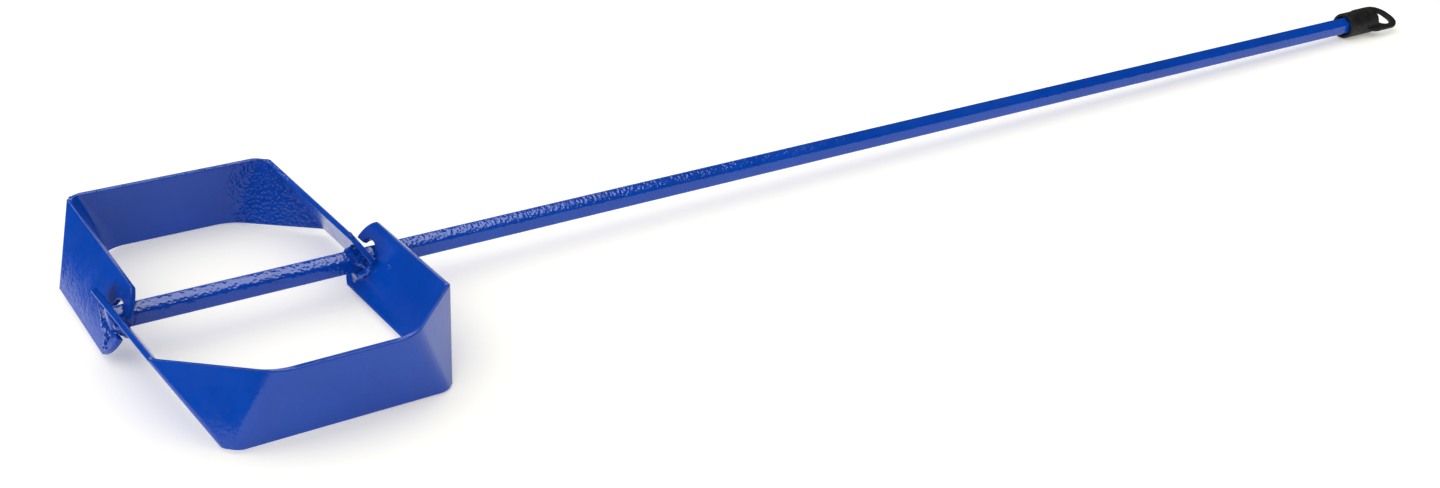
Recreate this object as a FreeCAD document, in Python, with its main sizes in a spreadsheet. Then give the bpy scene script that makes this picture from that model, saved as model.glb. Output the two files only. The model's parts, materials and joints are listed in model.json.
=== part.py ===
"""Mortar mixing paddle: a hexagonal steel shaft with two folded strip blades welded to its lower end
and a push-on hanging cap on its drill end.

Tool frame, in which every piece is drawn: X runs along the shaft from the mixing tip to the drill end,
with X = 0 half way along the blades; the near blade reaches out to -Y and the far blade to +Y.
The whole tool is then laid down as it rests on a floor: on one corner of each blade and on the cap.
"""
import FreeCAD, Part

import math
import os

import Sketcher
from FreeCAD import Placement, Rotation, Vector

OUT = "parts"
os.makedirs(OUT, exist_ok=True)

DOC = FreeCAD.newDocument("mixing_paddle")
X_AXIS = Vector(1, 0, 0)

# ---------------------------------------------------------------- driving dimensions, in millimetres
DIMENSIONS = [
    ("hex_flats", 9.525, "shaft bar across its flats, 3/8 in"),
    ("shaft_length", 762.0, "shaft bar, 30 in"),
    ("tip_offset", 57.0, "mixing tip of the shaft before the middle of the blades"),
    ("hex_roll", 32.0, "turn of the bar about its axis, degrees"),
    ("end_chamfer", 0.8, "broken edge of the bar ends"),
    ("strip_thick", 2.4, "thickness of the blade strip, 3/32 in with its paint"),
    ("span_leg", 58.9, "half span of the blade at the upper edge of its legs"),
    ("span_top", 26.2, "half span where the upper edge bends into the outer plate"),
    ("span_base", 44.1, "half span at the lower edge"),
    ("reach_leg", 63.0, "shaft to the fold at the upper edge of a leg"),
    ("reach_top", 102.6, "shaft to the outer plate at its upper edge"),
    ("reach_base", 96.5, "shaft to the outer plate at its lower edge"),
    ("rise_leg", 13.6, "upper edge of a leg above the shaft axis"),
    ("rise_top", 18.0, "upper edge of the outer plate above the shaft axis"),
    ("drop_base", 12.7, "lower edge below the shaft axis"),
    ("corner_radius", 5.5, "rounding of the lower corner, middle of the strip"),
    ("leg_bend", 5.3, "bend radius at the upper end of the leg fold"),
    ("top_bend", 15.9, "bend radius at the upper end of the plate fold"),
    ("tip_lean", 1.2, "lean of the tip-side leg off square to the shaft, degrees"),
    ("nose_radius", 16.9, "rounded end of a leg"),
    ("nose_mid", 12.7, "end of a leg past the shaft axis, middle joint"),
    ("nose_tip", 11.0, "end of a leg past the shaft axis, tip joint"),
    ("slot_radius", 7.5, "round back of the slot that takes the shaft"),
    ("slot_back", 7.6, "back of the slot behind the shaft axis"),
    ("slot_mouth", 8.2, "open mouth of the slot"),
    ("bead_radius", 2.5, "weld bead"),
    ("bead_standoff", 0.6, "middle of a bead outside the flats of the bar"),
    ("bead_wobble", 0.12, "share by which the beads of a row differ in size"),
    ("bead_start", 168.0, "first weld bead round the bar, degrees from the far side"),
    ("bead_step", 24.0, "weld bead pitch round the bar, degrees"),
    ("bead_sweep", 120.0, "stretch of the bar's girth that is welded, degrees"),
    ("mouth_reach", 687.3, "cap mouth past the middle of the blades"),
    ("cap_roll", 17.0, "turn of the cap about the shaft, degrees"),
    ("sleeve_length", 26.4, "cap sleeve"),
    ("sleeve_radius", 7.6, "outside of the sleeve"),
    ("bore_radius", 5.58, "bore of the sleeve, which clears the corners of the bar"),
    ("socket_depth", 17.9, "depth of the bore"),
    ("loop_start", 19.0, "root of the hanging loop past the mouth"),
    ("loop_end", 44.8, "end of the hanging loop past the mouth"),
    ("loop_half", 11.0, "half width of the loop"),
    ("loop_thick", 2.2, "loop thickness"),
    ("loop_corner", 9.6, "outer corner radius of the loop"),
    ("eye_start", 28.0, "hanging eye, root side"),
    ("eye_end", 39.9, "hanging eye, outer side"),
    ("eye_half", 7.3, "half width of the eye"),
    ("eye_corner", 5.8, "corner radius of the eye"),
    ("edge_round", 0.7, "moulded edges of the loop"),
    ("mouth_round", 0.5, "moulded edges of the sleeve mouth"),
]

# ---------------------------------------------------------------- settings of the construction
BEND_STEPS = 5  # flats that make up one bend
FACET_SHARE = 0.1  # share of the lower corner's turn that the three-cornered facet takes
SPARE = 3.0  # how far a cutting solid runs past what it cuts
BEAD_TURN = 2.3  # step of the sine that makes one bead larger than the next, radians
FINENESS = 0.02  # millimetres between a curved face and the points that measure it
SETTLE_ROUNDS = 4  # times that the resting plane is worked out again from new lowest points
TOUCH = 0.01  # millimetres within which an edge counts as lying on a plane
LEAST_CUT = 1.0  # cubic millimetres that a pocket removes at the least

sheet = DOC.addObject("Spreadsheet::Sheet", "Dimensions")
for row, (name, value, note) in enumerate(DIMENSIONS, start=1):
    sheet.set("A%d" % row, name)
    sheet.set("B%d" % row, str(value))
    sheet.set("C%d" % row, note)
    sheet.setAlias("B%d" % row, name)
DOC.recompute()


def dim(name):
    """One driving dimension, read from the sheet."""
    return float(sheet.get(name))


def cell(name):
    """The expression that binds a property to a cell of the sheet."""
    return "Dimensions." + name


# ---------------------------------------------------------------- blade: the folded strip
def arc_point(corner, toward_start, toward_end, radius, share):
    """Point and direction on the arc that rounds a corner, at a share from 0 to 1 of its turn."""
    start = Vector(toward_start).normalize()
    end = Vector(toward_end).normalize()
    half_open = start.getAngle(end) / 2
    tangent_length = radius / math.tan(half_open)
    centre = corner + (start + end).normalize() * (radius / math.sin(half_open))
    first = corner + start * tangent_length - centre
    last = corner + end * tangent_length - centre
    turn = first.getAngle(last)
    along = (first * math.sin((1 - share) * turn) + last * math.sin(share * turn)) * (1 / math.sin(turn))
    heading = (last * math.cos(share * turn) - first * math.cos((1 - share) * turn)).normalize()
    return centre + along, heading


def leg_heading(lean):
    """Direction of a mid-side leg from its fold to the shaft."""
    return Vector(math.sin(math.radians(lean)), math.cos(math.radians(lean)), 0)


def reach_point(corner, heading, height):
    """Where a line from a corner along the leg comes to a given Y."""
    return corner + heading * ((height - corner.y) / heading.y)


def half_blade_rulings(leg_end, lean):
    """Straight lines across the strip, from the end of one leg to the middle of the outer plate.

    Each is (lower point, upper point, outward normal). Folding the leg, then the three-cornered facet,
    then the outer plate turns the strip through a right angle round one rounded lower corner.
    """
    upper_leg = Vector(dim("span_leg"), -dim("reach_leg"), dim("rise_leg"))
    upper_top = Vector(dim("span_top"), -dim("reach_top"), dim("rise_top"))
    lower = Vector(dim("span_base"), -dim("reach_base"), -dim("drop_base"))
    inward = leg_heading(lean)
    sideways = Vector(-1, 0, 0)
    facet = upper_top - upper_leg
    lines = []

    def add(base_point, base_heading, top_point, top_heading):
        across = (top_point - base_point).normalize()
        normal = across.cross(base_heading + top_heading).normalize()
        lines.append((base_point, top_point, normal))

    outward = inward * -1
    add(reach_point(lower, inward, leg_end), outward, reach_point(upper_leg, inward, leg_end), outward)
    first_fold_end = 0.5 - FACET_SHARE / 2
    for step in range(BEND_STEPS + 1):
        share = step / BEND_STEPS
        base = arc_point(lower, inward, sideways, dim("corner_radius"), share * first_fold_end)
        top = arc_point(upper_leg, inward, facet, dim("leg_bend"), share)
        add(*base, *top)
    for step in range(BEND_STEPS + 1):
        share = step / BEND_STEPS
        base_share = 1 - (1 - share) * first_fold_end
        base = arc_point(lower, inward, sideways, dim("corner_radius"), base_share)
        top = arc_point(upper_top, facet * -1, sideways, dim("top_bend"), share)
        add(*base, *top)
    return lines


def mirrored(vector):
    """The same vector on the other side of the blade's middle plane."""
    return Vector(-vector.x, vector.y, vector.z)


def strip_section(line):
    """Rectangle of the strip's width and thickness on one line across it."""
    base, top, normal = line
    skin = normal * (dim("strip_thick") / 2)
    return Part.makePolygon([base - skin, base + skin, top + skin, top - skin, base - skin])


def leg_frame(side):
    """Placement of a leg's own plane: local x to its open end, local y up its width, z out of it."""
    lean = 0 if side > 0 else dim("tip_lean")
    along = leg_heading(lean)
    base = reach_point(Vector(dim("span_base"), -dim("reach_base"), -dim("drop_base")), along, 0)
    top = reach_point(Vector(dim("span_leg"), -dim("reach_leg"), dim("rise_leg")), along, 0)
    middle = (top + base) * 0.5
    up = top - base
    up = (up - along * up.dot(along)).normalize()
    if side < 0:
        along, up, middle = mirrored(along), mirrored(up), mirrored(middle)
    normal = along.cross(up)
    turn = FreeCAD.Matrix(along.x, up.x, normal.x, middle.x, along.y, up.y, normal.y, middle.y,
                          along.z, up.z, normal.z, middle.z, 0, 0, 0, 1)
    return Placement(turn)


def leg_waste(side, nose):
    """What is cut from a leg: the corners round its nose, and the slot with a round back."""
    deep = 3 * dim("strip_thick")
    radius = dim("nose_radius")
    centre = nose - radius
    block = Part.makeBox(radius + SPARE, 2 * (radius + SPARE), deep,
                         Vector(centre, -radius - SPARE, -deep / 2))
    disc = Part.makeCylinder(radius, deep, Vector(centre, 0, -deep / 2))
    back = dim("slot_radius") - dim("slot_back")
    hole = Part.makeCylinder(dim("slot_radius"), deep, Vector(back, 0, -deep / 2))
    mouth = Part.makeBox(nose + SPARE - back, dim("slot_mouth"), deep,
                         Vector(back, -dim("slot_mouth") / 2, -deep / 2))
    waste = block.cut(disc).fuse(hole.fuse(mouth))
    waste.Placement = leg_frame(side)
    return waste


def blade_shape():
    """One folded blade, reaching out to -Y."""
    right = half_blade_rulings(dim("nose_mid") + SPARE / 2, 0)
    left = half_blade_rulings(dim("nose_tip") + SPARE / 2, dim("tip_lean"))
    left = [(mirrored(base), mirrored(top), mirrored(normal)) for base, top, normal in left]
    sections = [strip_section(line) for line in right + left[::-1]]
    strip = Part.makeLoft(sections, True, True)
    return strip.cut(leg_waste(1, dim("nose_mid"))).cut(leg_waste(-1, dim("nose_tip")))


# ---------------------------------------------------------------- resting place of the whole tool
def surface_points(shape):
    """Points all over a shape's surface, near enough to measure its outer box."""
    return shape.tessellate(FINENESS)[0]


def measured_box(shapes):
    """The box round some shapes, from points of their surfaces."""
    box = FreeCAD.BoundBox()
    for shape in shapes:
        for point in surface_points(shape):
            box.add(point)
    return box


def lowest_point(shape, up):
    """The point of a shape that lies furthest down."""
    return min(surface_points(shape), key=up.dot)


def resting_placement(near, far, sleeve):
    """Lays the tool on the plane through its three lowest points: near blade, far blade, cap."""
    up = Vector(0, 0, 1)
    for _ in range(SETTLE_ROUNDS):
        corner, opposite, end = [lowest_point(shape, up) for shape in (near, far, sleeve)]
        up = (end - corner).cross(opposite - corner).normalize()
    return Placement(Vector(0, 0, 0), Rotation(up, Vector(0, 0, 1)))


def add_feature(name, shape):
    """A sub-part whose shape comes from Part's own functions."""
    feature = DOC.addObject("Part::Feature", name)
    feature.Label = name
    feature.Shape = shape
    return feature


# ---------------------------------------------------------------- PartDesign helpers
def origin_item(body, role):
    """An origin plane or axis of a body, found by its role."""
    return next(item for item in body.Origin.OriginFeatures if item.Role == role)


def add_body(name):
    """A named PartDesign body."""
    body = DOC.addObject("PartDesign::Body", name)
    body.Label = name
    return body


def add_sketch(body, name, role):
    """A sketch on one of the body's own origin planes."""
    sketch = body.newObject("Sketcher::SketchObject", name)
    sketch.AttachmentSupport = [(origin_item(body, role), "")]
    sketch.MapMode = "FlatFace"
    return sketch


def add_profile(sketch, corners):
    """A closed outline of straight lines. Each corner is (x, y), named cells of the sheet or 0."""
    signs = [[-1 if str(value).startswith("-") else 1 for value in corner] for corner in corners]
    names = [[str(value).lstrip("-") for value in corner] for corner in corners]
    points = []
    for sign, name in zip(signs, names):
        place = [factor * (0.0 if cell_name == "0" else dim(cell_name))
                 for factor, cell_name in zip(sign, name)]
        points.append(Vector(place[0], place[1], 0))
    count = len(points)
    for index in range(count):
        sketch.addGeometry(Part.LineSegment(points[index], points[(index + 1) % count]), False)
    for index in range(count):
        sketch.addConstraint(Sketcher.Constraint("Coincident", index, 2, (index + 1) % count, 1))
    for index in range(count):
        for kind, axis, sign, name, value in zip(("DistanceX", "DistanceY"), (-2, -1), signs[index],
                                                 names[index], (points[index].x, points[index].y)):
            if name == "0":
                sketch.addConstraint(Sketcher.Constraint("PointOnObject", index, 1, axis))
                continue
            ends = (-1, 1, index, 1) if sign > 0 else (index, 1, -1, 1)
            number = sketch.addConstraint(Sketcher.Constraint(kind, *ends, abs(value)))
            sketch.setExpression("Constraints[%d]" % number, cell(name))


def edges_where(shape, test):
    """Names of a shape's edges whose middle point passes a test."""
    names = []
    for number, edge in enumerate(shape.Edges, start=1):
        middle = edge.valueAt((edge.FirstParameter + edge.LastParameter) / 2)
        if test(middle):
            names.append("Edge%d" % number)
    return names


def add_dressing(body, kind, name, base, edges, size_cell):
    """A fillet or chamfer on named edges of a feature."""
    dressing = body.newObject("PartDesign::" + kind, name)
    dressing.Base = (base, edges)
    size = "Radius" if kind == "Fillet" else "Size"
    dressing.setExpression(size, cell(size_cell))
    body.Tip = dressing
    DOC.recompute()
    return dressing


# ---------------------------------------------------------------- hex_shaft
def make_shaft():
    """Hexagonal bar, both ends with a broken edge."""
    body = add_body("hex_shaft")
    sketch = add_sketch(body, "hex_section", "YZ_Plane")
    corner_radius = dim("hex_flats") / 2 / math.cos(math.radians(30))
    points = [Vector(corner_radius * math.cos(math.radians(60 * index)),
                     corner_radius * math.sin(math.radians(60 * index)), 0) for index in range(6)]
    for index in range(6):
        sketch.addGeometry(Part.LineSegment(points[index], points[(index + 1) % 6]), False)
    circle = sketch.addGeometry(Part.Circle(Vector(0, 0, 0), Vector(0, 0, 1), corner_radius), True)
    sketch.addConstraint(Sketcher.Constraint("Coincident", circle, 3, -1, 1))
    for index in range(6):
        sketch.addConstraint(Sketcher.Constraint("Coincident", index, 2, (index + 1) % 6, 1))
        sketch.addConstraint(Sketcher.Constraint("PointOnObject", index, 1, circle))
    for index in range(1, 6):
        sketch.addConstraint(Sketcher.Constraint("Equal", 0, index))
    sketch.addConstraint(Sketcher.Constraint("PointOnObject", 0, 1, -1))
    across = sketch.addConstraint(Sketcher.Constraint("Radius", circle, corner_radius))
    sketch.setExpression("Constraints[%d]" % across, cell("hex_flats") + " / 2 / cos(30)")
    pad = body.newObject("PartDesign::Pad", "bar")
    pad.Profile = sketch
    pad.setExpression("Length", cell("shaft_length"))
    DOC.recompute()
    last = dim("shaft_length")
    ends = edges_where(pad.Shape, lambda spot: min(spot.x, last - spot.x) < TOUCH)
    add_dressing(body, "Chamfer", "broken_ends", pad, ends, "end_chamfer")
    body.Placement = Placement(Vector(-dim("tip_offset"), 0, 0), Rotation(X_AXIS, dim("hex_roll")))
    return body


# ---------------------------------------------------------------- hanging_cap
def make_cap():
    """Moulded cap: a flat loop with an eye, and a round sleeve closed at the loop end."""
    body = add_body("hanging_cap")
    half_thick = dim("loop_thick") / 2

    outline = add_sketch(body, "loop_outline", "XY_Plane")
    add_profile(outline, [("loop_start", "-loop_half"), ("loop_end", "-loop_half"),
                          ("loop_end", "loop_half"), ("loop_start", "loop_half")])
    loop = body.newObject("PartDesign::Pad", "loop")
    loop.Profile = outline
    loop.Midplane = True
    loop.setExpression("Length", cell("loop_thick"))
    DOC.recompute()

    opening = add_sketch(body, "eye_outline", "XY_Plane")
    add_profile(opening, [("eye_start", "-eye_half"), ("eye_end", "-eye_half"),
                          ("eye_end", "eye_half"), ("eye_start", "eye_half")])
    eye = body.newObject("PartDesign::Pocket", "eye")
    eye.Profile = opening
    eye.Midplane = True
    eye.Type = "ThroughAll"
    DOC.recompute()
    check_less(eye, loop)

    outer = edges_where(eye.Shape, lambda spot: abs(spot.z) < TOUCH and spot.x > dim("loop_end") - TOUCH
                        and abs(spot.y) > dim("loop_half") - TOUCH)
    rounded = add_dressing(body, "Fillet", "loop_corners", eye, outer, "loop_corner")
    inner = edges_where(rounded.Shape, lambda spot: abs(spot.z) < TOUCH
                        and abs(abs(spot.y) - dim("eye_half")) < TOUCH)
    rounded = add_dressing(body, "Fillet", "eye_corners", rounded, inner, "eye_corner")
    rims = edges_where(rounded.Shape, lambda spot: abs(spot.z) > half_thick - TOUCH
                       and spot.x > dim("loop_start") + TOUCH)
    rounded = add_dressing(body, "Fillet", "loop_rims", rounded, rims, "edge_round")

    wall = add_sketch(body, "sleeve_section", "XY_Plane")
    add_profile(wall, [("0", "0"), ("0", "sleeve_radius"), ("sleeve_length", "sleeve_radius"),
                       ("sleeve_length", "0")])
    sleeve = body.newObject("PartDesign::Revolution", "sleeve")
    sleeve.Profile = wall
    sleeve.ReferenceAxis = (wall, ["H_Axis"])
    sleeve.Angle = 360
    DOC.recompute()

    mouth = add_sketch(body, "bore_outline", "YZ_Plane")
    mouth.addGeometry(Part.Circle(Vector(0, 0, 0), Vector(0, 0, 1), dim("bore_radius")), False)
    mouth.addConstraint(Sketcher.Constraint("Coincident", 0, 3, -1, 1))
    across = mouth.addConstraint(Sketcher.Constraint("Radius", 0, dim("bore_radius")))
    mouth.setExpression("Constraints[%d]" % across, cell("bore_radius"))
    bore = body.newObject("PartDesign::Pocket", "bore")
    bore.Profile = mouth
    bore.setExpression("Length", cell("socket_depth"))
    bore.Reversed = True
    DOC.recompute()
    check_less(bore, sleeve)
    rims = edges_where(bore.Shape, lambda spot: spot.x < TOUCH)
    add_dressing(body, "Fillet", "mouth_rims", bore, rims, "mouth_round")
    body.Placement = Placement(Vector(dim("mouth_reach"), 0, 0), Rotation(X_AXIS, dim("cap_roll")))
    return body


def check_less(feature, before):
    """A pocket has to take material away."""
    removed = before.Shape.Volume - feature.Shape.Volume
    if removed < LEAST_CUT:
        raise RuntimeError("%s cuts nothing" % feature.Name)


# ---------------------------------------------------------------- welds
def bead_row(side, solids):
    """Overlapping weld beads round the near half of the bar, on the tip-facing side of a near leg."""
    frame = leg_frame(side)
    normal = frame.Rotation.multVec(Vector(0, 0, 1))
    if normal.x > 0:
        normal = normal * -1
    plane_point = frame.Base + normal * (dim("strip_thick") / 2)
    girth = dim("hex_flats") / 2 + dim("bead_standoff")
    count = int(dim("bead_sweep") / dim("bead_step")) + 1
    row = None
    for index in range(count):
        angle = math.radians(dim("bead_start") + index * dim("bead_step"))
        spot = Vector(0, girth * math.cos(angle), girth * math.sin(angle))
        spot.x = plane_point.x - normal.dot(spot - Vector(0, plane_point.y, plane_point.z)) / normal.x
        size = dim("bead_radius") * (1 + dim("bead_wobble") * math.sin(BEAD_TURN * index))
        bead = Part.makeSphere(size, spot)
        row = bead if row is None else row.fuse(bead)
    for solid in solids:
        row = row.cut(solid)
    return row


# ---------------------------------------------------------------- the whole tool
FAR_TURN = Placement(Vector(0, 0, 0), Rotation(X_AXIS, 180))


def turned(shape):
    """The same shape carried half a turn round the shaft."""
    copy = shape.copy()
    copy.Placement = FAR_TURN.multiply(copy.Placement)
    return copy


shaft = make_shaft()
cap = make_cap()
near_shape = blade_shape()
far_shape = turned(near_shape)
steel = [shaft.Shape, near_shape, far_shape]

features = {
    "near_blade": near_shape,
    "far_blade": near_shape,
}
for joint, side in (("tip", -1), ("mid", 1)):
    row = bead_row(side, steel)
    features["near_blade_%s_weld" % joint] = row.cut(turned(row))
    features["far_blade_%s_weld" % joint] = row
subparts = [shaft, cap]
for name, shape in features.items():
    subparts.append(add_feature(name, shape))
for part in subparts:
    if part.Label.startswith("far_"):
        part.Placement = FAR_TURN

# Lay the tool down, then centre it over its own footprint with its lowest point at Z = 0.
lay = resting_placement(near_shape, far_shape, cap.Shape)
for part in subparts:
    part.Placement = lay.multiply(part.Placement)
DOC.recompute()
whole = measured_box([part.Shape for part in subparts])
centre = Placement(Vector(-whole.Center.x, -whole.Center.y, -whole.ZMin), Rotation())
for part in subparts:
    part.Placement = centre.multiply(part.Placement)
DOC.recompute()

for item in DOC.Objects:
    if "Invalid" in item.State or "Error" in item.State:
        raise RuntimeError("%s: %s" % (item.Label, item.State))
for part in subparts:
    if part.Shape.isNull() or not part.Shape.isValid():
        raise RuntimeError("%s has no valid shape" % part.Label)
    part.Shape.exportStep(os.path.join(OUT, part.Label + ".step"))
    box = measured_box([part.Shape])
    print("%-22s %9.1f mm3  %d solids  x %.1f..%.1f  y %.1f..%.1f  z %.2f..%.2f"
          % (part.Label, part.Shape.Volume, len(part.Shape.Solids), box.XMin, box.XMax,
             box.YMin, box.YMax, box.ZMin, box.ZMax))
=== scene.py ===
"""Looks of the mortar mixing paddle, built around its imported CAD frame.

Every new piece is drawn in the tool's own frame in millimetres: X runs along the bar from the mixing tip
to the drill end with 0 half way along the blades, the near blade reaches out to -Y, the far blade to +Y.
The TOOL matrix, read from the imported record, carries that frame to the row frame in metres.
"""

import json
import math
import random

import bmesh
import bpy
from mathutils import Matrix, Vector, noise


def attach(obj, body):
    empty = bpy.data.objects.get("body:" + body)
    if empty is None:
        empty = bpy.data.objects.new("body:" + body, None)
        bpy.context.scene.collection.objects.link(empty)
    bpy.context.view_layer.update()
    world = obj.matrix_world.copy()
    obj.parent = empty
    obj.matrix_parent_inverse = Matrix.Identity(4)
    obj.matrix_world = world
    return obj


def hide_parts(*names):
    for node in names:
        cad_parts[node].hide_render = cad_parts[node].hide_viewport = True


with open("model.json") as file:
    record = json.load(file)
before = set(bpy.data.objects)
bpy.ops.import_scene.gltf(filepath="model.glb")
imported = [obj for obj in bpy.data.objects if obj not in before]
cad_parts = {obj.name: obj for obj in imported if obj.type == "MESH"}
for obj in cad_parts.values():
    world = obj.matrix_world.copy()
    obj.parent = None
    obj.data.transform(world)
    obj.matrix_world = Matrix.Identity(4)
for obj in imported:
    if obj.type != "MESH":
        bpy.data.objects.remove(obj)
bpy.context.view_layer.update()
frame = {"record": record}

MM = 0.001

# ---------------------------------------------------------------- sizes, in millimetres, as the CAD has them
TIP_OFFSET = 57.0
SHAFT_LENGTH = 762.0
HEX_FLATS = 9.525
HEX_ROLL = 32.0
STRIP_THICK = 2.4
SPAN_LEG, SPAN_TOP, SPAN_BASE = 58.9, 26.2, 44.1
REACH_LEG, REACH_TOP, REACH_BASE = 63.0, 102.6, 96.5
RISE_LEG, RISE_TOP, DROP_BASE = 13.6, 18.0, 12.7
CORNER_RADIUS, LEG_BEND, TOP_BEND = 5.5, 5.3, 15.9
TIP_LEAN = 1.2
NOSE_RADIUS, NOSE_MID, NOSE_TIP = 16.9, 12.7, 11.0
SLOT_RADIUS, SLOT_BACK, SLOT_MOUTH = 7.5, 7.6, 8.2
CAP_MOUTH, CAP_ROLL = 687.3, 17.0
SLEEVE_LENGTH, SLEEVE_RADIUS, SOCKET_DEPTH, BORE_RADIUS = 26.4, 7.6, 17.9, 5.58
LOOP_START, LOOP_END, LOOP_HALF, LOOP_THICK, LOOP_CORNER = 19.0, 44.8, 11.0, 2.2, 9.6
EYE_START, EYE_END, EYE_HALF, EYE_CORNER = 28.0, 39.9, 7.3, 5.8

# ---------------------------------------------------------------- fineness of the drawn surfaces
BEND_STEPS = 14
EDGE_ROUND = 0.55
EDGE_SEGMENTS = 3
EDGE_ANGLE = 32.0
FACET_SHARE = 0.1
NOSE_POINTS = 20
SLOT_POINTS = 40
NOSE_SPARE = 0.02  # how far the nose stays inside the strip's edges
RING_SPACING = 0.75  # millimetres between the rings of the bar
BAR_CORNER_SHARE = 0.10  # share of a flat that the bar's rounded corner takes
BAR_CORNER_PULL = 0.35  # how much that corner is drawn in
BAR_CHAMFER = 0.8
BAR_COAT_LOSS, BAR_WAVE, BAR_GRIT = 0.004, 0.002, 0.003  # shares of the bar's radius
WELD_VOXEL = 0.3
CAP_VOXEL = 0.28
CORNER_POINTS = 14
LOOP_OVERLAP = 6.0  # how far the loop's strand runs into the sleeve
LOOP_ROUNDING, LOOP_SOFTENING = 0.75, 0.22
SLEEVE_SIDES = 56
FLOOR_SIDES = 96

# ---------------------------------------------------------------- welds, drops and specks, in millimetres
# Weld paths in a leg's own plane. Each point: x to its open end, y along its width, bead width, height.
WELD_PATHS = {
    ("near", "tip"): [(-7.0, 2.0, 4.0, 0.2), (-6.5, -3.5, 4.5, 0.2), (-2.0, -7.2, 4.0, 0.2),
                      (4.0, -5.5, 3.5, 0.2)],
    ("far", "tip"): [(-19.5, 2.4, 1.4, -0.2), (-12.5, 3.2, 2.0, -0.2), (-8.5, 4.0, 3.0, 0.0),
                     (-5.0, 5.8, 3.6, 0.0), (0.0, 5.2, 4.2, -0.8), (5.0, 4.2, 3.0, -1.0),
                     (0.0, 6.2, 3.2, -0.2), (1.6, 10.0, 2.8, -0.6), (1.0, 13.6, 2.2, -0.7)],
    ("near", "mid"): [(-8.0, 2.0, 3.0, 0.0), (-7.2, -3.5, 4.0, 0.2), (-4.6, -6.8, 4.6, 0.3),
                      (0.5, -8.0, 3.6, 0.1), (-1.6, -11.0, 2.4, -0.4)],
    ("far", "mid"): [(-7.5, 3.0, 3.4, 0.3), (-7.4, -3.0, 4.4, 1.2), (-3.6, -6.2, 5.0, 2.6),
                     (1.0, -6.4, 5.0, 3.4), (4.6, -4.6, 4.2, 2.4), (6.4, -1.0, 3.0, 0.8)],
}
RIPPLE_PITCH = 1.1
SMOOTH_RUN_WIDTH = 3.3  # a narrower bead is a smooth run of paint, with no small beads on it
WELD_DENT = 0.15
WELD_JITTER = 0.4
RIPPLE_SIZE = (0.8, 1.15)  # shares of half the bead's width
BEADS_PER_RIPPLE = 2
BEAD_SIZE = (0.28, 0.42)  # shares of the ripple's size
SPATTER_COUNT = 10
SPATTER_SIZE = (0.35, 0.7)
SPATTER_SPREAD = 2.2
SPATTER_HEIGHT = 0.2
# Drops of paint on the near middle leg: x, y in the leg's plane and radii.
DROPS_ON_LEG = [(-20.9, 3.9, (1.8, 0.9, 0.5)), (-17.4, 4.6, (0.7, 0.6, 0.4)), (-12.5, -1.5, (0.6, 0.6, 0.4)),
                (-11.0, -6.5, (0.5, 0.5, 0.4)), (-10.2, 5.2, (0.5, 0.4, 0.3))]
# Drops at the low tip-side corner of the near blade: x, y, z and size.
DROPS_AT_CORNER = [(-38.0, -97.4, -11.6, 0.7), (-35.5, -97.6, -11.0, 0.5), (-30.5, -97.6, -11.8, 0.6),
                   (-45.0, -92.5, -10.6, 0.6)]
EDGE_SPECKS = 26
SPECK_SIZE = (0.3, 0.7)
SPECK_LENGTH = (1.0, 2.2)  # shares of the speck's size
# Spike of weld wire on the upper edge of the far middle leg: x, y, z in the leg's plane and radii.
SPIKE = ((4.0, -16.6, 0.5), (0.5, 1.9, 0.5))
WELD_SEEDS = {"near": 11, "far": 23}
SPECK_SEED = 5

# ---------------------------------------------------------------- camera and light
CAMERA_PLACE = Vector((-0.5364, -0.6374, 0.3309))
CAMERA_AIM = Vector((-0.1319, -0.0422, 0.0))
CAMERA_ROLL = 0.44
CAMERA_LENS = 43.885
CAMERA_SHIFT = -0.001
SENSOR_WIDTH = 36.0
CLIP_START = 0.01
FLOOR_HOLE = 0.0001
TABLE_RADIUS = 0.47
FLOOR_RADIUS = 6.0
TABLE_GLOW = 0.29
# Soft boxes that show in the gloss: name, place, spot they point at, size and power.
SOFT_BOXES = (("overhead", (0.12, 0.0, 1.6), (0.12, 0.0, 0.0), (0.94, 0.8), 13.5),
              ("behind", (0.4, 1.9, 1.6), (0.4, 0.0, 1.6), (2.1, 1.8), 17.0))
ROOM_LIGHT = 1.05
ROOM_SLANT = (-0.45, 0.35, 0.0)
DARK_ROOM = 0.006


# ---------------------------------------------------------------- the tool's own frame
def tool_matrix():
    """Tool frame in millimetres to row frame in metres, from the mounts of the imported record."""
    mounts = {mount["name"]: mount for mount in frame["record"]["mounts"]}
    along = Vector(mounts["drill_shank"]["axis"]).normalized()
    eye_axis = Vector(mounts["hanging_eye"]["axis"])
    up = Matrix.Rotation(math.radians(-CAP_ROLL), 3, along) @ eye_axis
    up = (up - along * up.dot(along)).normalized()
    across = up.cross(along)
    origin = Vector(mounts["drill_shank"]["pos_m"]) - along * (SHAFT_LENGTH - TIP_OFFSET) * MM
    turn = Matrix((along, across, up)).transposed().to_4x4()
    return Matrix.Translation(origin) @ turn @ Matrix.Scale(MM, 4)


TOOL = tool_matrix()
HALF_TURN = Matrix.Rotation(math.pi, 4, "X")
SIDES = {"near": Matrix.Identity(4), "far": HALF_TURN}


# ---------------------------------------------------------------- mesh helpers
def add_piece(name, shape, body, material, place=None, smooth_angle=35.0):
    """A finished piece from a bmesh drawn in the tool frame, riding on a CAD body."""
    shape.transform(TOOL @ (place or Matrix.Identity(4)))
    bmesh.ops.recalc_face_normals(shape, faces=shape.faces)
    mesh = bpy.data.meshes.new(name)
    shape.to_mesh(mesh)
    shape.free()
    mesh.polygons.foreach_set("use_smooth", [True] * len(mesh.polygons))
    mesh.set_sharp_from_angle(angle=math.radians(smooth_angle))
    mesh.materials.append(material)
    piece = bpy.data.objects.new(name, mesh)
    bpy.context.scene.collection.objects.link(piece)
    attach(piece, body)
    return piece


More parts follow.
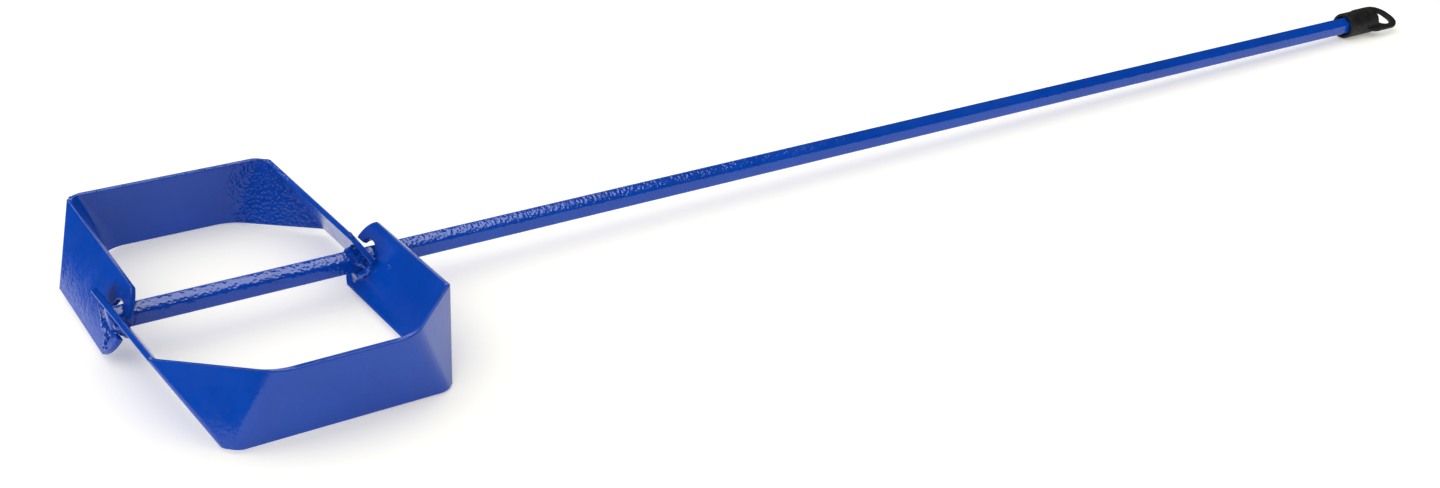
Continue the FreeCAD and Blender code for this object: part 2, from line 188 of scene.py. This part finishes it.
def round_edges(piece, width):
    """Rounded edges, as a coat of paint leaves them."""
    bevel = piece.modifiers.new("round_edges", "BEVEL")
    bevel.width = width * MM
    bevel.segments = EDGE_SEGMENTS
    bevel.limit_method = "ANGLE"
    bevel.angle_limit = math.radians(EDGE_ANGLE)
    bevel.use_clamp_overlap = True
    bevel.harden_normals = True


# ---------------------------------------------------------------- blade: the folded strip
def arc_point(corner, toward_start, toward_end, radius, share):
    """Point and direction on the arc that rounds a corner, at a share from 0 to 1 of its turn."""
    start = toward_start.normalized()
    end = toward_end.normalized()
    half_open = start.angle(end) / 2
    tangent_length = radius / math.tan(half_open)
    centre = corner + (start + end).normalized() * (radius / math.sin(half_open))
    first = corner + start * tangent_length - centre
    last = corner + end * tangent_length - centre
    turn = first.angle(last)
    along = (first * math.sin((1 - share) * turn) + last * math.sin(share * turn)) / math.sin(turn)
    heading = last * math.cos(share * turn) - first * math.cos((1 - share) * turn)
    return centre + along, heading.normalized()


def level_with_bar(corner, heading):
    """Where a line from a corner along the leg comes level with the bar, at Y = 0."""
    return corner - heading * (corner.y / heading.y)


def half_blade_rulings(lean):
    """Straight lines across the strip from the leg's fold to the outer plate: (lower, upper, outward)."""
    upper_leg = Vector((SPAN_LEG, -REACH_LEG, RISE_LEG))
    upper_top = Vector((SPAN_TOP, -REACH_TOP, RISE_TOP))
    lower = Vector((SPAN_BASE, -REACH_BASE, -DROP_BASE))
    inward = Vector((math.sin(math.radians(lean)), math.cos(math.radians(lean)), 0))
    sideways = Vector((-1, 0, 0))
    facet = upper_top - upper_leg
    first_fold_end = 0.5 - FACET_SHARE / 2
    lines = []

    def add(base_point, base_heading, top_point, top_heading):
        across = (top_point - base_point).normalized()
        normal = across.cross(base_heading + top_heading).normalized()
        lines.append((base_point, top_point, normal))

    for step in range(BEND_STEPS + 1):
        share = step / BEND_STEPS
        base = arc_point(lower, inward, sideways, CORNER_RADIUS, share * first_fold_end)
        top = arc_point(upper_leg, inward, facet, LEG_BEND, share)
        add(*base, *top)
    for step in range(BEND_STEPS + 1):
        share = step / BEND_STEPS
        base = arc_point(lower, inward, sideways, CORNER_RADIUS, 1 - (1 - share) * first_fold_end)
        top = arc_point(upper_top, -facet, sideways, TOP_BEND, share)
        add(*base, *top)
    return lines


def leg_frame(side):
    """Matrix of a leg's own plane: local x to its open end, y up its width, z out of it."""
    lean = 0 if side > 0 else TIP_LEAN
    along = Vector((math.sin(math.radians(lean)), math.cos(math.radians(lean)), 0))
    base = level_with_bar(Vector((SPAN_BASE, -REACH_BASE, -DROP_BASE)), along)
    top = level_with_bar(Vector((SPAN_LEG, -REACH_LEG, RISE_LEG)), along)
    middle = (top + base) / 2
    up = top - base
    up = (up - along * up.dot(along)).normalized()
    if side < 0:
        flip = Vector((-1, 1, 1))
        along, up, middle = along * flip, up * flip, middle * flip
    turn = Matrix((along, up, along.cross(up))).transposed().to_4x4()
    return Matrix.Translation(middle) @ turn


def arc_points(centre_x, radius, first, last, count):
    """Points of an arc in a leg's own plane, angles in radians."""
    points = []
    for index in range(count):
        angle = first + (last - first) * index / (count - 1)
        points.append((centre_x + radius * math.cos(angle), radius * math.sin(angle)))
    return points


def leg_outline(nose, half_width):
    """The open end of a leg, from its upper edge round the nose and the slot to its lower edge."""
    nose_centre = nose - NOSE_RADIUS
    slot_centre = SLOT_RADIUS - SLOT_BACK
    half_mouth = SLOT_MOUTH / 2
    from_edge = math.asin(half_width / NOSE_RADIUS)
    to_mouth = math.asin(half_mouth / NOSE_RADIUS)
    slot_start = math.asin(half_mouth / SLOT_RADIUS)
    upper = arc_points(nose_centre, NOSE_RADIUS, from_edge, to_mouth, NOSE_POINTS)
    slot = arc_points(slot_centre, SLOT_RADIUS, slot_start, 2 * math.pi - slot_start, SLOT_POINTS)
    lower = [(x, -y) for x, y in reversed(upper)]
    return upper + slot + lower


def blade_mesh():
    """One folded blade as a closed mesh, in the tool frame, reaching out to -Y."""
    shape = bmesh.new()
    skin = STRIP_THICK / 2
    right = half_blade_rulings(0)
    flip = Vector((-1, 1, 1))
    left = [(base * flip, top * flip, normal * flip) for base, top, normal in half_blade_rulings(TIP_LEAN)]
    sections = []
    for base, top, normal in right + left[::-1]:
        corners = (base - normal * skin, base + normal * skin, top + normal * skin, top - normal * skin)
        sections.append([shape.verts.new(corner) for corner in corners])
    for one, two in zip(sections, sections[1:]):
        for index in range(4):
            following = (index + 1) % 4
            shape.faces.new((one[index], one[following], two[following], two[index]))
    for side, nose, section in ((1, NOSE_MID, sections[0]), (-1, NOSE_TIP, sections[-1])):
        leg = leg_frame(side)
        inside = leg.inverted()
        upper_edge = (inside @ section[3].co).y
        lower_edge = (inside @ section[0].co).y
        outline = leg_outline(nose, (upper_edge - lower_edge) / 2 - NOSE_SPARE)
        faces = []
        for corner_low, corner_high in ((0, 3), (1, 2)):
            depth = (inside @ section[corner_low].co).z
            rim = [shape.verts.new(leg @ Vector((x, y, depth))) for x, y in outline]
            faces.append([section[corner_high]] + rim + [section[corner_low]])
        for rim in faces:
            shape.faces.new(rim)
        for index in range(len(faces[0]) - 1):
            shape.faces.new((faces[0][index], faces[0][index + 1], faces[1][index + 1], faces[1][index]))
    return shape


# ---------------------------------------------------------------- shaft
def shaft_mesh():
    """The hexagonal bar with rounded corners and the slight waviness of thick paint."""
    shape = bmesh.new()
    round_share = BAR_CORNER_SHARE
    corner_radius = HEX_FLATS / 2 / math.cos(math.radians(30))
    section = []
    for index in range(6):
        here = math.radians(HEX_ROLL + 60 * index)
        for share in (-round_share, -round_share / 3, round_share / 3, round_share):
            beside = here + math.copysign(math.radians(60), share)
            corner = Vector((0, math.cos(here), math.sin(here)))
            other = Vector((0, math.cos(beside), math.sin(beside)))
            pull = 1 - BAR_CORNER_PULL * (round_share - abs(share))
            section.append(corner.lerp(other, abs(share)) * corner_radius * pull)
    count = int(SHAFT_LENGTH / RING_SPACING)
    rings = []
    for index in range(count + 1):
        x = -TIP_OFFSET + SHAFT_LENGTH * index / count
        from_end = min(index, count - index) * RING_SPACING
        inset = max(0.0, BAR_CHAMFER - from_end) / corner_radius
        ring = []
        for point in section:
            wave = noise.noise(Vector((x * 0.35, point.y * 0.8, point.z * 0.8)))
            grit = noise.noise(Vector((x * 0.9, point.y * 0.5, point.z * 0.5 + 7.0)))
            scale = (1 - inset) * (1 - BAR_COAT_LOSS + BAR_WAVE * wave + BAR_GRIT * grit)
            ring.append(shape.verts.new(Vector((x, point.y * scale, point.z * scale))))
        rings.append(ring)
    around = len(section)
    for one, two in zip(rings, rings[1:]):
        for index in range(around):
            following = (index + 1) % around
            shape.faces.new((one[index], one[following], two[following], two[index]))
    shape.faces.new(rings[0])
    shape.faces.new(rings[-1])
    return shape


# ---------------------------------------------------------------- welds
def add_lump(shape, place, radii, turn=None, roughness=0.12, seed=0.0):
    """A rounded lump of metal or paint: a ball stretched, turned and dented."""
    made = bmesh.ops.create_icosphere(shape, subdivisions=3, radius=1.0)
    stretch = Matrix.Diagonal(Vector(radii).to_4d())
    matrix = Matrix.Translation(place) @ (turn or Matrix.Identity(4)) @ stretch
    for vert in made["verts"]:
        dent = noise.noise(vert.co * 1.7 + Vector((seed, 3.1 * seed, -seed)))
        vert.co = matrix @ (vert.co * (1 + roughness * dent))


def weld_mesh(side, path, drawer):
    """Weld metal on the tip-facing side of a near leg: ripples along a path, with beads and spatter."""
    shape = bmesh.new()
    leg = leg_frame(side)
    face = -STRIP_THICK / 2 if (leg.to_3x3() @ Vector((0, 0, 1))).x > 0 else STRIP_THICK / 2
    outward = math.copysign(1.0, face)
    for one, two in zip(path, path[1:]):
        length = math.dist(one[:2], two[:2])
        count = max(2, round(length / RIPPLE_PITCH))
        for index in range(count):
            share = (index + drawer.uniform(0.2, 0.8)) / count
            x, y, width, height = (first + (last - first) * share for first, last in zip(one, two))
            size = width / 2 * drawer.uniform(*RIPPLE_SIZE)
            spot = Vector((x + drawer.uniform(-WELD_JITTER, WELD_JITTER),
                           y + drawer.uniform(-WELD_JITTER, WELD_JITTER), face + outward * height))
            add_lump(shape, leg @ spot, (size, size, size * 0.9), roughness=WELD_DENT,
                     seed=drawer.uniform(0, 50))
            if width < SMOOTH_RUN_WIDTH:
                continue
            for _ in range(BEADS_PER_RIPPLE):
                bead = size * drawer.uniform(*BEAD_SIZE)
                rim = drawer.uniform(0, 2 * math.pi)
                side_step = Vector((math.cos(rim), math.sin(rim), outward * 0.5)) * size * 0.8
                add_lump(shape, leg @ (spot + side_step), (bead, bead, bead), seed=drawer.uniform(0, 50))
    for _ in range(SPATTER_COUNT):
        x, y = drawer.choice(path)[:2]
        bead = drawer.uniform(*SPATTER_SIZE)
        spot = Vector((x + drawer.gauss(0, SPATTER_SPREAD), y + drawer.gauss(0, SPATTER_SPREAD),
                       face + outward * SPATTER_HEIGHT))
        add_lump(shape, leg @ spot, (bead, bead, bead), seed=drawer.uniform(0, 50))
    return shape


def fuse_lumps(piece, voxel):
    """Runs a piece's separate lumps together into one skin."""
    remesh = piece.modifiers.new("run_together", "REMESH")
    remesh.mode = "VOXEL"
    remesh.voxel_size = voxel * MM
    remesh.use_smooth_shade = True
    smooth = piece.modifiers.new("soften", "SMOOTH")
    smooth.factor = 0.5
    smooth.iterations = 3


# ---------------------------------------------------------------- hanging cap
def rounded_outline(x_start, x_end, half, corner):
    """Rectangle with four rounded corners in the loop's own plane, run anticlockwise."""
    centres = ((x_end - corner, half - corner, 0), (x_start + corner, half - corner, 90),
               (x_start + corner, -half + corner, 180), (x_end - corner, -half + corner, 270))
    points = []
    for x, y, first in centres:
        for index in range(CORNER_POINTS):
            angle = math.radians(first + 90 * index / (CORNER_POINTS - 1))
            points.append((x + corner * math.cos(angle), y + corner * math.sin(angle)))
    return points


def loop_mesh(shape):
    """The flat hanging loop: a strand that runs from the outer outline to the eye."""
    outer = rounded_outline(LOOP_START - LOOP_OVERLAP, LOOP_END, LOOP_HALF, LOOP_CORNER)
    inner = rounded_outline(EYE_START, EYE_END, EYE_HALF, EYE_CORNER)
    outer_middle = Vector(((LOOP_START + LOOP_END) / 2, 0))
    inner_middle = Vector(((EYE_START + EYE_END) / 2, 0))
    half = LOOP_THICK / 2
    profile = ((0, half - LOOP_ROUNDING), (LOOP_SOFTENING, half - LOOP_SOFTENING), (LOOP_ROUNDING, half))
    rings = []
    for outline, middle, levels, inward in ((outer, outer_middle, profile, 1),
                                            (inner, inner_middle, profile[::-1], -1)):
        for inset, height in levels:
            rings.append([(Vector(point) + (middle - Vector(point)).normalized() * inset * inward, height)
                          for point in outline])
    upper = [[shape.verts.new((p.x, p.y, z)) for p, z in ring] for ring in rings]
    lower = [[shape.verts.new((p.x, p.y, -z)) for p, z in ring] for ring in rings]
    strips = list(zip(upper, upper[1:])) + list(zip(lower, lower[1:]))
    strips += [(upper[0], lower[0]), (upper[-1], lower[-1])]
    for one, two in strips:
        count = len(one)
        for index in range(count):
            following = (index + 1) % count
            shape.faces.new((one[index], one[following], two[following], two[index]))


def sleeve_mesh(shape):
    """The round sleeve with its bore, a lathe-turned closed profile with soft lips."""
    profile = [(0.0, BORE_RADIUS + 0.55), (0.35, BORE_RADIUS + 0.12), (0.9, BORE_RADIUS),
               (SOCKET_DEPTH, BORE_RADIUS), (SOCKET_DEPTH, 0.0)]
    outside = [(SLEEVE_LENGTH, 0.0), (SLEEVE_LENGTH, SLEEVE_RADIUS - 1.5),
               (SLEEVE_LENGTH - 0.3, SLEEVE_RADIUS - 0.6), (SLEEVE_LENGTH - 1.2, SLEEVE_RADIUS - 0.1),
               (SLEEVE_LENGTH - 2.4, SLEEVE_RADIUS), (0.9, SLEEVE_RADIUS), (0.25, SLEEVE_RADIUS - 0.25),
               (0.0, SLEEVE_RADIUS - 0.8)]
    rings = []
    for x, radius in profile + outside:
        if radius == 0.0:
            rings.append([shape.verts.new((x, 0, 0))])
            continue
        rings.append([shape.verts.new((x, radius * math.cos(2 * math.pi * index / SLEEVE_SIDES),
                                       radius * math.sin(2 * math.pi * index / SLEEVE_SIDES)))
                      for index in range(SLEEVE_SIDES)])
    for one, two in zip(rings, rings[1:] + rings[:1]):
        if len(one) == 1 and len(two) == 1:
            continue
        for index in range(SLEEVE_SIDES):
            following = (index + 1) % SLEEVE_SIDES
            if len(one) == 1:
                shape.faces.new((one[0], two[following], two[index]))
            elif len(two) == 1:
                shape.faces.new((one[index], one[following], two[0]))
            else:
                shape.faces.new((one[index], one[following], two[following], two[index]))


def cap_mesh():
    """The moulded cap: sleeve and loop, to be run together by a remesh."""
    shape = bmesh.new()
    sleeve_mesh(shape)
    loop_mesh(shape)
    return shape


# ---------------------------------------------------------------- materials
class Nodes:
    """Short names for building one node material."""

    def __init__(self, name):
        self.material = bpy.data.materials.new(name)
        self.material.use_nodes = True
        self.tree = self.material.node_tree
        self.shader = self.tree.nodes["Principled BSDF"]
        coordinates = self.tree.nodes.new("ShaderNodeTexCoord")
        self.place = coordinates.outputs["Object"]

    def add(self, kind, settings=None, **links):
        """A node with its settings and its linked or constant inputs."""
        node = self.tree.nodes.new(kind)
        for key, value in (settings or {}).items():
            setattr(node, key, value)
        for key, value in links.items():
            self.feed(node.inputs[key], value)
        return node

    def feed(self, socket, value):
        """Links a socket to an output, or sets it to a constant."""
        if isinstance(value, bpy.types.NodeSocket):
            self.tree.links.new(value, socket)
        else:
            socket.default_value = value

    def noise(self, scale, detail, roughness=0.55):
        """Noise from 0 to 1, with the scale in waves per metre."""
        node = self.add("ShaderNodeTexNoise", Vector=self.place, Scale=scale, Detail=detail,
                        Roughness=roughness)
        return node.outputs["Fac"]

    def ramp(self, fac, low, high, low_value=0.0, high_value=1.0):
        """Maps a value's range onto another, clamped and smoothed."""
        node = self.tree.nodes.new("ShaderNodeMapRange")
        node.interpolation_type = "SMOOTHSTEP"
        self.feed(node.inputs["Value"], fac)
        for key, value in (("From Min", low), ("From Max", high),
                           ("To Min", low_value), ("To Max", high_value)):
            node.inputs[key].default_value = value
        return node.outputs["Result"]

    def math(self, operation, one, two):
        """One arithmetic step."""
        node = self.tree.nodes.new("ShaderNodeMath")
        node.operation = operation
        self.feed(node.inputs[0], one)
        self.feed(node.inputs[1], two)
        return node.outputs["Value"]

    def mix(self, fac, one, two):
        """Blends two colours."""
        node = self.tree.nodes.new("ShaderNodeMix")
        node.data_type = "RGBA"
        self.feed(node.inputs["Factor"], fac)
        self.feed(node.inputs[6], one)
        self.feed(node.inputs[7], two)
        return node.outputs[2]

    def near(self, spot, inner, outer, near_value, far_value):
        """A value within a distance of a spot, which fades to another further out, in metres."""
        away = self.add("ShaderNodeVectorMath", {"operation": "DISTANCE"})
        self.feed(away.inputs[0], self.place)
        away.inputs[1].default_value = spot
        return self.ramp(away.outputs["Value"], inner, outer, near_value, far_value)

    def bump(self, height, distance, normal=None):
        """Bump of a real height, in millimetres."""
        node = self.add("ShaderNodeBump", Strength=1.0, Distance=distance * MM, Height=height)
        if normal is not None:
            self.feed(node.inputs["Normal"], normal)
        return node.outputs["Normal"]


def blue_paint(name, rough_spot, darkened_spot, peel, hammer, wave_height):
    """Thick glossy blue paint on rolled steel, with orange peel, long waves and a few specks.

    It is rough as dry spray round one spot, and coloured darker, in patches, round another.
    """
    nodes = Nodes(name)
    deep = (0.0003, 0.050, 0.375, 1)
    bright = (0.0006, 0.059, 0.430, 1)
    speck = (0.03, 0.11, 0.50, 1)
    cloud = nodes.ramp(nodes.noise(38, 5), 0.30, 0.70)
    colour = nodes.mix(cloud, deep, bright)
    specks = nodes.math("MULTIPLY", nodes.ramp(nodes.noise(420, 1), 0.80, 0.85), 0.4)
    colour = nodes.mix(specks, colour, speck)
    # Darker, patchy colour round a spot by the far tip slot.
    darkening = nodes.math("MULTIPLY", nodes.near(darkened_spot, 0.0015, 0.0075, 0.85, 0.0),
                       nodes.ramp(nodes.noise(350, 3), 0.2, 0.6, 0.5, 1.0))
    nodes.feed(nodes.shader.inputs["Base Color"], nodes.mix(darkening, colour, (0.020, 0.026, 0.085, 1)))
    gloss = nodes.math("ADD", nodes.ramp(nodes.noise(240, 3), 0.3, 0.7, 0.11, 0.17),
                       nodes.ramp(nodes.noise(45, 2), 0.4, 0.75, 0.0, 0.06))
    nodes.feed(nodes.shader.inputs["Roughness"], gloss)
    nodes.shader.inputs["Specular IOR Level"].default_value = 0.45
    wave = nodes.bump(nodes.noise(55, 2, 0.4), 0.16 * wave_height)
    skin = nodes.bump(nodes.noise(700, 2, 0.5), 0.030 * peel, normal=wave)
    cells = nodes.add("ShaderNodeTexVoronoi", Vector=nodes.place, Scale=600.0)
    dimple = nodes.ramp(cells.outputs["Distance"], 0.0, 0.75)
    height = nodes.math("MULTIPLY", dimple, nodes.near(rough_spot, 0.012, 0.032, hammer + 4.0, hammer))
    skin = nodes.bump(height, 0.11, normal=skin)
    nodes.feed(nodes.shader.inputs["Normal"], skin)
    return nodes.material


def painted_weld(name):
    """Paint pooled over weld metal, of a tone that varies at random, with bright bluish-white dots on the
    beads: partly bare steel, partly a painted highlight.
    """
    nodes = Nodes(name)
    deep = (0.0004, 0.036, 0.30, 1)
    bright = (0.001, 0.070, 0.48, 1)
    painted_highlight_steel = (0.55, 0.70, 0.95, 1)
    paint = nodes.mix(nodes.ramp(nodes.noise(300, 4), 0.35, 0.65), deep, bright)
    # Painted highlight: bright bluish-white dots, half metallic, that stay light under any light; in part
    # they are bare steel on the beads.
    steel_and_painted_highlight = nodes.ramp(nodes.noise(800, 1), 0.71, 0.74)
    nodes.feed(nodes.shader.inputs["Base Color"], nodes.mix(steel_and_painted_highlight, paint, painted_highlight_steel))
    nodes.feed(nodes.shader.inputs["Metallic"], nodes.math("MULTIPLY", steel_and_painted_highlight, 0.4))
    nodes.feed(nodes.shader.inputs["Roughness"], nodes.ramp(nodes.noise(700, 3), 0.35, 0.7, 0.10, 0.24))
    nodes.shader.inputs["Coat Weight"].default_value = 0.7
    nodes.shader.inputs["Coat IOR"].default_value = 1.6
    nodes.shader.inputs["Coat Roughness"].default_value = 0.05
    rough = nodes.bump(nodes.noise(600, 2, 0.5), 0.14)
    nodes.feed(nodes.shader.inputs["Normal"], nodes.bump(nodes.noise(2400, 2), 0.04, normal=rough))
    return nodes.material


def black_plastic(name):
    """Soft moulded black plastic with a fine spark-eroded grain and dusty scuffs."""
    nodes = Nodes(name)
    dark = (0.006, 0.006, 0.0065, 1)
    dusty = (0.017, 0.017, 0.018, 1)
    dust = nodes.ramp(nodes.noise(260, 5), 0.4, 0.72)
    nodes.feed(nodes.shader.inputs["Base Color"], nodes.mix(dust, dark, dusty))
    nodes.feed(nodes.shader.inputs["Roughness"], nodes.ramp(nodes.noise(500, 3), 0.3, 0.7, 0.55, 0.70))
    nodes.shader.inputs["Specular IOR Level"].default_value = 0.32
    grain = nodes.bump(nodes.noise(2600, 3, 0.6), 0.06)
    nodes.feed(nodes.shader.inputs["Normal"], nodes.bump(nodes.noise(180, 2), 0.10, normal=grain))
    return nodes.material


def pale_floor(name):
    """Matt white studio floor with a faint glow, as a light table has."""
    nodes = Nodes(name)
    nodes.shader.inputs["Roughness"].default_value = 0.9
    nodes.shader.inputs["Specular IOR Level"].default_value = 0.1
    cloud = nodes.ramp(nodes.noise(2.0, 2), 0.3, 0.7)
    tint = nodes.mix(cloud, (0.87, 0.855, 0.80, 1), (0.88, 0.865, 0.81, 1))
    nodes.feed(nodes.shader.inputs["Base Color"], tint)
    nodes.shader.inputs["Emission Color"].default_value = (1.0, 0.985, 0.93, 1)
    nodes.shader.inputs["Emission Strength"].default_value = TABLE_GLOW
    return nodes.material


# ---------------------------------------------------------------- the paddle
DRY_SPRAYED = TOOL @ Vector((44.0, 86.0, -4.0))
# Spot by the far tip slot round which the paint is coloured darker.
DARKENED_SPOT = TOOL @ HALF_TURN @ leg_frame(-1) @ Vector((-10.5, -5.8, 0.0))
BLADE_PAINT = blue_paint("blade_paint", DRY_SPRAYED, DARKENED_SPOT, peel=1.0, hammer=0.2, wave_height=1.0)
SHAFT_PAINT = blue_paint("shaft_paint", DRY_SPRAYED, DARKENED_SPOT, peel=1.2, hammer=1.0, wave_height=0.3)
WELD_PAINT = painted_weld("weld_paint")
CAP_PLASTIC = black_plastic("cap_plastic")
FLOOR_PAINT = pale_floor("floor_paint")


def make_blades():
    """Both folded blades: the far one is the near one turned half a turn round the bar."""
    for name, place in SIDES.items():
        piece = add_piece(name + "_folded_strip", blade_mesh(), "paddle", BLADE_PAINT, place)
        round_edges(piece, EDGE_ROUND)
        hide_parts(name + "_blade")


def make_shaft():
    """The painted hexagonal bar."""
    piece = add_piece("painted_bar", shaft_mesh(), "paddle", SHAFT_PAINT, smooth_angle=60.0)
    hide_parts("hex_shaft")


def make_welds():
    """Four welds: tip and middle joint, near and far side."""
    for joint, side in (("tip", -1), ("mid", 1)):
        for name, place in SIDES.items():
            drawer = random.Random(WELD_SEEDS[name] + side)
            path = WELD_PATHS[name, joint]
            piece = add_piece("%s_%s_weld_metal" % (name, joint), weld_mesh(side, path, drawer), "paddle",
                              WELD_PAINT, place, smooth_angle=180.0)
            fuse_lumps(piece, WELD_VOXEL)
            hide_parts("%s_blade_%s_weld" % (name, joint))


def make_drops():
    """Drops of paint on the near middle leg and at a low corner, and specks along the far blade's edge."""
    drawer = random.Random(SPECK_SEED)
    shape = bmesh.new()
    leg = leg_frame(1)
    leg_turn = leg.to_quaternion().to_matrix().to_4x4()
    for x, y, radii in DROPS_ON_LEG:
        add_lump(shape, leg @ Vector((x, y, -STRIP_THICK / 2)), radii, leg_turn, seed=x)
    for x, y, z, size in DROPS_AT_CORNER:
        add_lump(shape, Vector((x, y, z)), (size, size * 0.7, size * 1.3), roughness=0.2, seed=x)
    add_piece("paint_runs", shape, "paddle", BLADE_PAINT, smooth_angle=180.0)
    specks = bmesh.new()
    for index in range(EDGE_SPECKS):
        x = -SPAN_BASE + (SPAN_BASE + SPAN_TOP) * (index + drawer.uniform(0.1, 0.9)) / EDGE_SPECKS
        size = drawer.uniform(*SPECK_SIZE)
        spot = Vector((x, -REACH_BASE + drawer.uniform(-0.7, 0.7), -DROP_BASE + drawer.uniform(0.0, 0.7)))
        add_lump(specks, spot, (size * drawer.uniform(*SPECK_LENGTH), size, size), seed=x)
    spot, radii = SPIKE
    add_lump(specks, leg @ Vector(spot), radii, leg_turn)
    # The specks and the spike take the weld paint, so they show its bright dots, in part a painted
    # highlight.
    add_piece("edge_specks", specks, "paddle", WELD_PAINT, HALF_TURN, smooth_angle=180.0)


def make_cap():
    """The moulded hanging cap."""
    place = Matrix.Translation((CAP_MOUTH, 0, 0)) @ Matrix.Rotation(math.radians(CAP_ROLL), 4, "X")
    piece = add_piece("moulded_cap", cap_mesh(), "cap", CAP_PLASTIC, place)
    fuse_lumps(piece, CAP_VOXEL)
    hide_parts("hanging_cap")


# ---------------------------------------------------------------- the studio
def add_floor(name, inner, outer, seen_in_gloss):
    """One ring of the pale floor."""
    shape = bmesh.new()
    rings = [[shape.verts.new((radius * math.cos(2 * math.pi * index / FLOOR_SIDES),
                               radius * math.sin(2 * math.pi * index / FLOOR_SIDES), 0))
              for index in range(FLOOR_SIDES)] for radius in (inner, outer)]
    for index in range(FLOOR_SIDES):
        following = (index + 1) % FLOOR_SIDES
        shape.faces.new((rings[0][index], rings[1][index], rings[1][following], rings[0][following]))
    mesh = bpy.data.meshes.new(name)
    shape.to_mesh(mesh)
    shape.free()
    mesh.materials.append(FLOOR_PAINT)
    floor = bpy.data.objects.new(name, mesh)
    floor.visible_glossy = seen_in_gloss
    bpy.context.scene.collection.objects.link(floor)


def make_floor():
    """A plain pale floor. Its outer part stays out of reflections, as a dark room round a table would."""
    add_floor("floor_table", FLOOR_HOLE, TABLE_RADIUS, True)
    add_floor("floor_beyond", TABLE_RADIUS, FLOOR_RADIUS, False)


def add_light(name, place, aim, size, power):
    """A soft rectangular light pointed at a spot, which shows only in the gloss."""
    lamp = bpy.data.lights.new(name, "AREA")
    lamp.shape = "RECTANGLE"
    lamp.size, lamp.size_y = size
    lamp.energy = power
    light = bpy.data.objects.new(name, lamp)
    light.location = place
    light.rotation_euler = (Vector(aim) - Vector(place)).to_track_quat("-Z", "Y").to_euler()
    light.visible_diffuse = False
    bpy.context.scene.collection.objects.link(light)


def make_lights():
    """The soft boxes."""
    for name, place, aim, size, power in SOFT_BOXES:
        add_light(name, place, aim, size, power)


def make_room():
    """A room that lights softly, more from one side, but is dark in the gloss."""
    world = bpy.data.worlds.new("studio")
    world.use_nodes = True
    tree = world.node_tree
    pale = tree.nodes["Background"]
    pale.inputs["Color"].default_value = (1.0, 1.0, 1.0, 1)
    direction = tree.nodes.new("ShaderNodeTexCoord")
    slant = tree.nodes.new("ShaderNodeVectorMath")
    slant.operation = "DOT_PRODUCT"
    slant.inputs[1].default_value = ROOM_SLANT
    level = tree.nodes.new("ShaderNodeMath")
    level.operation = "MULTIPLY_ADD"
    level.inputs[1].default_value = ROOM_LIGHT
    level.inputs[2].default_value = ROOM_LIGHT
    tree.links.new(direction.outputs["Generated"], slant.inputs[0])
    tree.links.new(slant.outputs["Value"], level.inputs[0])
    tree.links.new(level.outputs["Value"], pale.inputs["Strength"])
    dark = tree.nodes.new("ShaderNodeBackground")
    dark.inputs["Color"].default_value = (0.9, 0.95, 1.0, 1)
    dark.inputs["Strength"].default_value = DARK_ROOM
    ray = tree.nodes.new("ShaderNodeLightPath")
    blend = tree.nodes.new("ShaderNodeMixShader")
    tree.links.new(ray.outputs["Is Glossy Ray"], blend.inputs["Fac"])
    tree.links.new(pale.outputs["Background"], blend.inputs[1])
    tree.links.new(dark.outputs["Background"], blend.inputs[2])
    tree.links.new(blend.outputs["Shader"], tree.nodes["World Output"].inputs["Surface"])
    bpy.context.scene.world = world


def make_camera():
    """The camera, off the tip end on the near side, looking down across the blades."""
    lens = bpy.data.cameras.new("view")
    lens.lens = CAMERA_LENS
    lens.sensor_width = SENSOR_WIDTH
    lens.sensor_fit = "HORIZONTAL"
    lens.clip_start = CLIP_START
    lens.shift_x = CAMERA_SHIFT
    lens.dof.use_dof = False
    camera = bpy.data.objects.new("view", lens)
    aim = (CAMERA_AIM - CAMERA_PLACE).to_track_quat("-Z", "Y").to_matrix().to_4x4()
    roll = Matrix.Rotation(math.radians(CAMERA_ROLL), 4, "Z")
    camera.matrix_world = Matrix.Translation(CAMERA_PLACE) @ aim @ roll
    bpy.context.scene.collection.objects.link(camera)
    bpy.context.scene.camera = camera


make_camera()
make_floor()
make_lights()
make_room()
make_blades()
make_shaft()
make_welds()
make_drops()
make_cap()

bpy.context.scene.view_settings.view_transform = "Standard"

bpy.context.view_layer.update()
